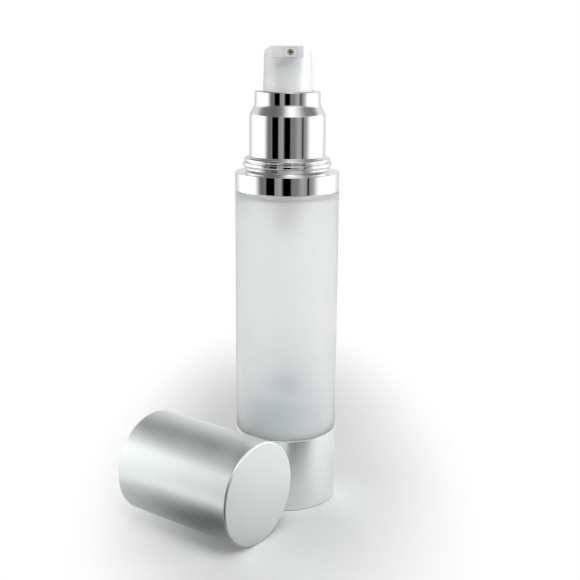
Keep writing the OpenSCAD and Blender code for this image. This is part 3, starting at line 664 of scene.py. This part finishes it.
boards("boards_left", [
    (-180, 225), (-158, 188), (-145, 215), (-128, 245), (-116, side_level), (-80, side_level),
    (-72, 248), (-67, 205), (-61, 130), (-56, 102), (-48, 116), (-46, 110), (-45, 3), (-27.5, 3),
    (-26, 138), (-18, 146), (-14, 160), (-11, 110), (-8, 30), (-7, 3), (0, 3)], [
    (-180, 190), (-156, 145), (-140, 102), (-128, 118), (-104, 138), (-90, 118), (-70, 105),
    (-50, 102), (-30, 118), (-18, 150), (-8, 205), (0, 230)])
boards("boards_right", [
    (0, 3), (6.5, 3), (10, 118), (14, 120), (20, 118), (26, 138), (32, 160), (38, 150), (43, 128),
    (44, 5), (46.5, 5), (48, 126), (56, 150), (60, 176), (65, 222), (71, 250), (77, side_level),
    (118, side_level), (128, 245), (148, 212), (165, 225), (180, 225)], [
    (0, 230), (10, 245), (22, 248), (42, 215), (55, 165), (66, 134), (90, 120), (112, 133), (125, 160),
    (145, 208), (165, 226), (180, 215)])


def flat_card(name, radius, centre, middle, rim):
    """A round level card that reads in metal as one grey in its middle and another at its rim."""
    bpy.ops.object.select_all(action="DESELECT")
    bpy.ops.mesh.primitive_circle_add(vertices=96, radius=radius, fill_type="NGON", location=centre)
    card = bpy.context.object
    card.name = name
    nodes, links, light = glowing(card)
    place, away = nodes.new("ShaderNodeTexCoord"), nodes.new("ShaderNodeVectorMath")
    share, tones = nodes.new("ShaderNodeMapRange"), nodes.new("ShaderNodeMix")
    away.operation, share.interpolation_type, tones.data_type = "LENGTH", "SMOOTHSTEP", "RGBA"
    share.inputs["From Max"].default_value = radius
    for side, tone in (("A", middle), ("B", rim)):
        tones.inputs[side].default_value = (grey(tone),) * 3 + (1,)
    links.new(place.outputs["Object"], away.inputs[0])
    links.new(away.outputs["Value"], share.inputs["Value"])
    links.new(share.outputs["Result"], tones.inputs["Factor"])
    links.new(tones.outputs["Result"], light.inputs["Color"])


# Painted shade: two dark cards that only the metal sees, for the floor's shade reflected in the cap and
# the base.
cap_painted_shade_r, cap_painted_shade_at = 0.05, (-0.038, -0.052, 0.0004)
front_painted_shade_r, front_painted_shade_at = 0.12, (0.048, -0.17, 0.0005)
flat_card("ceiling_board", board_r, (0, 0, board_top), middle=150, rim=150)
flat_card("cap_painted_shade", cap_painted_shade_r, cap_painted_shade_at, middle=85, rim=205)
flat_card("front_painted_shade", front_painted_shade_r, front_painted_shade_at, middle=80, rim=80)

# Lamps: large soft boxes on both sides, the right one stronger, two overhead towards the front, and one
# behind that lights the floor and the back. None of them shows as a glow through the frosted tube.
lamp_aim = Vector((0, 0, 0.08))


def lamp(name, place, size, power):
    """A soft square lamp that faces the middle of the bottle."""
    light = bpy.data.lights.new(name, "AREA")
    light.size, light.energy = size, power
    holder = bpy.data.objects.new(name, light)
    bpy.context.scene.collection.objects.link(holder)
    aim = lamp_aim - Vector(place)
    holder.visible_transmission = False
    holder.matrix_world = Matrix.Translation(place) @ aim.to_track_quat("-Z", "Y").to_matrix().to_4x4()


lamp("right_lamp", (0.62, -0.16, 0.28), size=0.5, power=2.8)
lamp("left_lamp", (-0.62, -0.12, 0.25), size=0.5, power=1.9)
lamp("top_lamp", (0.12, -0.45, 0.68), size=0.2, power=1.0)
lamp("over_lamp", (0.05, -0.22, 0.78), size=0.4, power=2.2)
lamp("back_lamp", (0.05, 0.5, 0.5), size=0.4, power=1.5)

# Camera: at the photograph's height, distance and angle, looking down at the bottle with a slight roll,
# for a square picture of 580 by 580.
picture, focal_px, sensor = 580, 1005.42, 36
camera_at = Vector((0, -0.3377, 0.15839))
pitch, roll, yaw = (math.radians(a) for a in (13.91, 0.40, 0.20))
ahead = Vector((math.sin(yaw) * math.cos(pitch), math.cos(yaw) * math.cos(pitch), -math.sin(pitch)))
right = Vector((math.cos(yaw), -math.sin(yaw), 0))
up = right.cross(ahead)
level_right = right * math.cos(roll) + up * math.sin(roll)
level_up = up * math.cos(roll) - right * math.sin(roll)
camera = bpy.data.objects.new("camera", bpy.data.cameras.new("camera"))
bpy.context.scene.collection.objects.link(camera)
camera.data.sensor_width = sensor
camera.data.lens = focal_px * sensor / picture
camera.data.clip_start, camera.data.clip_end = 0.01, 50
camera.matrix_world = Matrix((level_right, level_up, -ahead)).transposed().to_4x4()
camera.matrix_world.translation = camera_at
bpy.context.scene.camera = camera
bpy.context.scene.view_settings.view_transform = "Standard"
